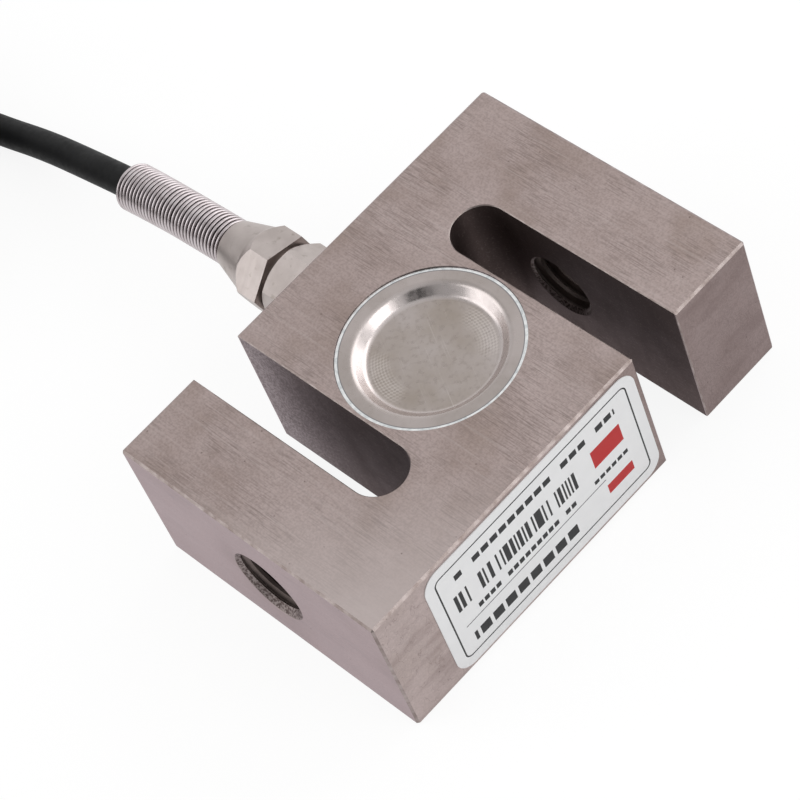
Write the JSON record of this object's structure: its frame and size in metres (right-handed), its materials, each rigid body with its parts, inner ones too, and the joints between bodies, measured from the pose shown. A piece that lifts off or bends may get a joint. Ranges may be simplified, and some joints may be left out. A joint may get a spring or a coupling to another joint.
{
  "type": "s type load cell",
  "caption": "Slotted steel load cell beam with threaded arms, pressed covers over the gauge pockets, a cable gland with a bend spring and a coiled cable.",
  "frame": {"origin": "centre of the steel beam's back face, which lies on the bench", "axes": "+X along the slots, away from the cable gland; +Y along the load axis through both threaded arms; +Z out of the front cover"},
  "size_m": [0.1908, 0.1104, 0.0254],
  "materials": {
    "nickel_steel": "nickel plated, ground",
    "cover_steel": "pressed, satin",
    "sealant": "cured adhesive",
    "gauge_foil": "polyimide backed foil",
    "board": "printed board",
    "resistor": "lacquered",
    "red_insulation": "smooth",
    "black_insulation": "smooth",
    "green_insulation": "smooth",
    "white_insulation": "smooth",
    "gland_metal": "nickel plated",
    "seal_rubber": "matt",
    "spring_steel": "bright wire",
    "cable_jacket": "satin jacket",
    "strap": "woven strap",
    "sleeve": "shrunk",
    "tinned_copper": "tinned strands",
    "label_foil": "satin foil with dark print"
  },
  "bodies": {
    "root": {"load_beam": "nickel_steel", "front_cover": "cover_steel", "back_cover": "cover_steel", "front_sealant": "sealant", "back_sealant": "sealant", "front_gauge_left": "gauge_foil", "front_gauge_right": "gauge_foil", "back_gauge_left": "gauge_foil", "back_gauge_right": "gauge_foil", "terminal_board": "board", "zero_resistor": "resistor", "span_resistor": "resistor", "inner_lead_red": "red_insulation", "inner_lead_black": "black_insulation", "inner_lead_green": "green_insulation", "inner_lead_white": "white_insulation", "gland_body": "gland_metal", "gland_nut": "gland_metal", "gland_gasket": "seal_rubber", "gland_grommet": "seal_rubber", "gland_thrust_washer": "gland_metal", "strain_relief_spring": "spring_steel", "cable": "cable_jacket", "cable_coil": "cable_jacket", "coil_tie": "strap", "end_sleeve": "sleeve", "core_red": "red_insulation", "core_black": "black_insulation", "core_green": "green_insulation", "core_white": "white_insulation", "core_tip_red": "tinned_copper", "core_tip_black": "tinned_copper", "core_tip_green": "tinned_copper", "core_tip_white": "tinned_copper", "shield_wire": "tinned_copper", "rating_label": "label_foil"}
  },
  "joints": []
}
